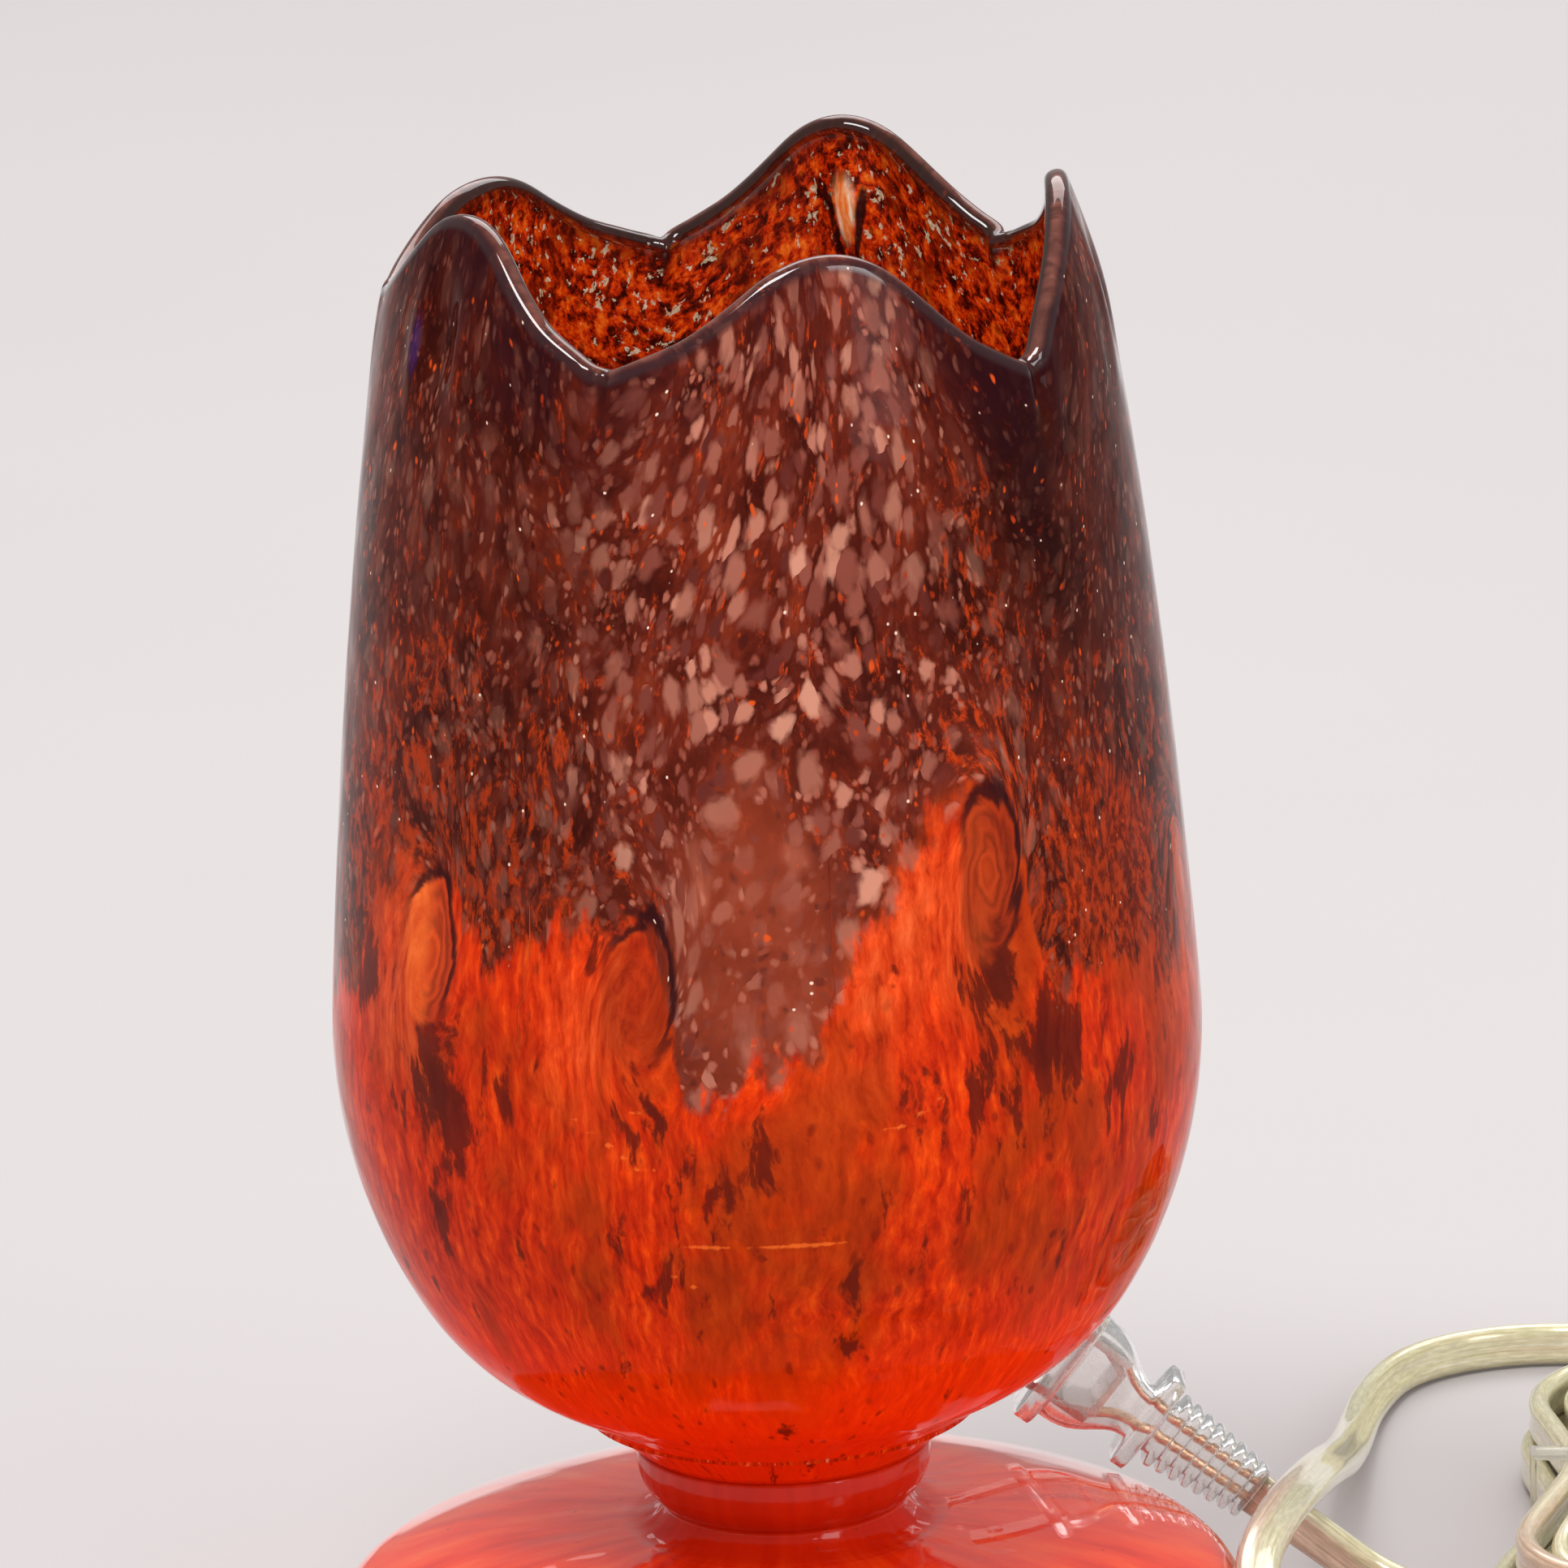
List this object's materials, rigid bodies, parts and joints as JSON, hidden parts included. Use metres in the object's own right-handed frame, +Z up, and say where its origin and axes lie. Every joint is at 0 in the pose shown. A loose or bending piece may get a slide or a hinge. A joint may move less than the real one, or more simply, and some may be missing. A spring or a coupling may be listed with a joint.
{
  "type": "table lamp",
  "caption": "Uplight table lamp: a blown glass tulip shade with pointed petals, clamped on a squat hollow glass base, with a waisted neck and a free mains cord with in-line switch and plug.",
  "frame": {"origin": "on the table plane under the lamp's axis, at the bottom of the rubber feet", "axes": "+Z up along the lamp's axis, -Y towards the viewer of the picture, +X to the viewer's right, where the cord leaves"},
  "size_m": [0.2877, 0.3055, 0.2707],
  "materials": {
    "shade_glass": "mottled blown glass, aubergine above and orange red below, glossy",
    "base_glass": "transparent orange red blown glass, glossy",
    "clear_silicone": "clear soft washer",
    "black_rubber": "matte",
    "brass": "satin",
    "zinc_steel": "zinc plated",
    "plate_steel": "black enamel",
    "black_plastic": "satin",
    "fibre_card": "pressed fibre card",
    "phenolic": "moulded",
    "aluminium": "satin",
    "core_insulation": "satin",
    "copper_wire": "bright copper",
    "frosted_glass": "frosted inside",
    "clear_glass": "clear",
    "black_glass": "opaque black",
    "solder": "dull solder",
    "tungsten": "dark wire",
    "cord_vinyl": "clear vinyl over stranded copper, silvery gold",
    "white_tie": "satin",
    "switch_plastic": "satin",
    "clear_vinyl": "clear moulded vinyl",
    "plug_insert": "moulded core",
    "nickel": "nickel plated brass"
  },
  "bodies": {
    "lamp": {"base_plate": "plate_steel", "bumper_feet": "black_rubber", "cap_bushing": "brass", "centre_contact": "brass", "check_ring": "brass", "cord_bushing": "black_plastic", "cord_hank": "cord_vinyl", "cord_lamp_run": "cord_vinyl", "cord_plug_run": "cord_vinyl", "cord_switch_run": "cord_vinyl", "glass_base": "base_glass", "hank_tie": "white_tie", "hex_nuts": "brass", "holder_block": "phenolic", "holder_cap": "brass", "holder_leads": "copper_wire", "holder_shell": "brass", "hot_terminal_screw": "brass", "inner_cord": "core_insulation", "lock_washers": "zinc_steel", "neck_seal": "clear_silicone", "neutral_terminal_screw": "zinc_steel", "plug_blade_narrow": "nickel", "plug_blade_wide": "nickel", "plug_body": "clear_vinyl", "plug_conductors": "copper_wire", "plug_insert": "plug_insert", "rim_gasket": "black_rubber", "screw_shell": "aluminium", "set_screw": "zinc_steel", "shade_seal": "black_rubber", "shell_liner": "fibre_card", "switch_bypass_core": "core_insulation", "switch_fixed_contacts": "brass", "switch_lower_case": "switch_plastic", "switch_screws": "zinc_steel", "switch_upper_case": "switch_plastic", "threaded_tube": "zinc_steel", "tulip_shade": "shade_glass"},
    "bulb": {"bulb_glass": "frosted_glass", "bulb_cap": "aluminium", "bulb_insulator": "black_glass", "bulb_contact": "solder", "bulb_stem": "clear_glass", "bulb_filament": "tungsten"},
    "thumbwheel": {"switch_thumbwheel": "switch_plastic", "switch_rotor_contact": "brass"}
  },
  "joints": [
    {"name": "bulb_lift", "type": "slide", "parent": "lamp", "child": "bulb", "axis": [0, 0, 1], "range_m": [0, 0.16]},
    {"name": "switch_wheel_turn", "type": "hinge", "parent": "lamp", "child": "thumbwheel", "pos_m": [0.2033, 0.1045, 0.0077], "axis": [0, 0, 1], "continuous": true}
  ]
}
